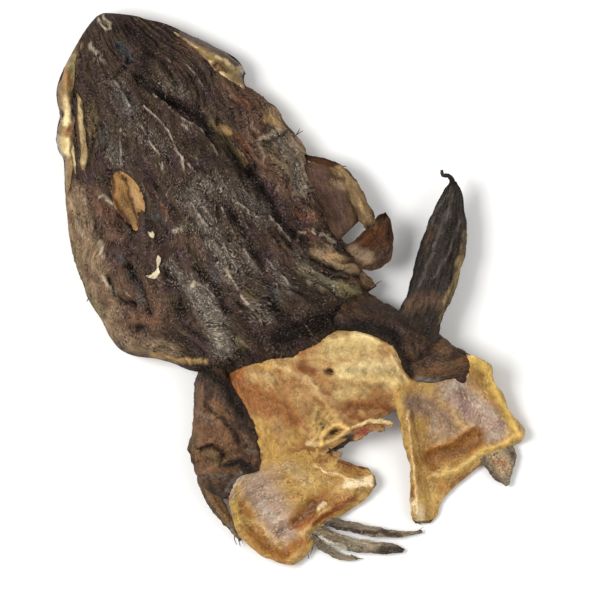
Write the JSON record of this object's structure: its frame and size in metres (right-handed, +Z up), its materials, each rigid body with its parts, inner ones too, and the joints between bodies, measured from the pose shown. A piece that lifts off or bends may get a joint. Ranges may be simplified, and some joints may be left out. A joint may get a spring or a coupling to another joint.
{
  "type": "dried cod head with collar",
  "caption": "Dried stockfish head with its collar: dark wrinkled skin over a flattened head, straw-coloured nape flesh, splayed collar plates and dried fins.",
  "frame": {"origin": "on the resting surface, under the middle of the whole piece", "axes": "+Y from the collar towards the snout, +Z up out of the crown, +X to the right seen from above with the snout ahead"},
  "size_m": [0.2441, 0.3934, 0.0733],
  "materials": {
    "skin": "dark grey-brown dried fish skin, finely wrinkled, matt with dusty grey specks and a waxy sheen on the folds",
    "flesh": "straw to amber dried flesh, fibrous and slightly waxy",
    "plate": "golden bony collar plate with a thin pinkish grey membrane, smooth and waxy",
    "fin": "grey-olive dried fin skin ribbed along its rays, matt"
  },
  "bodies": {
    "root": {"stockfish": "skin"}
  },
  "joints": []
}
